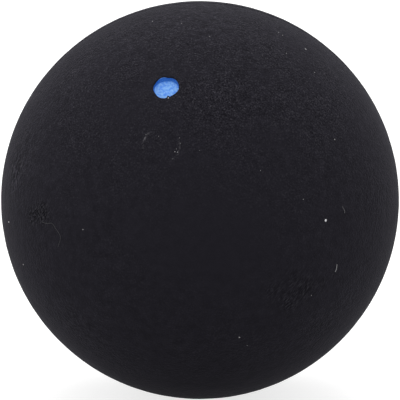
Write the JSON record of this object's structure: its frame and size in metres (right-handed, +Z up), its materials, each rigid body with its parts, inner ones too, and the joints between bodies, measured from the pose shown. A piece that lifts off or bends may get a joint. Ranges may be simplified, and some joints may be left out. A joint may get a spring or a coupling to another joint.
{
  "type": "squash ball",
  "caption": "Hollow matt black rubber ball for squash, moulded as half shells bonded at a glue seam, with a small dot of blue paint sunk in a pocket as its speed mark.",
  "frame": {"origin": "centre of the ball", "axes": "+Z up, +Y along the axis of the half shells from the dotted half to the plain half, so the glue seam lies in the XZ plane, +X to the right when the dotted half is seen from the front"},
  "size_m": [0.04, 0.04, 0.04],
  "materials": {
    "rubber": "matt, buffed all over to a fine grain",
    "glue": "cured rubber solution, black, slightly smoother than the shells",
    "paint": "light blue paint, hand-dabbed, slightly uneven, with a satin gloss"
  },
  "bodies": {
    "root": {"dotted_half_shell": "rubber", "plain_half_shell": "rubber", "glue_seam": "glue", "blue_dot": "paint"}
  },
  "joints": []
}
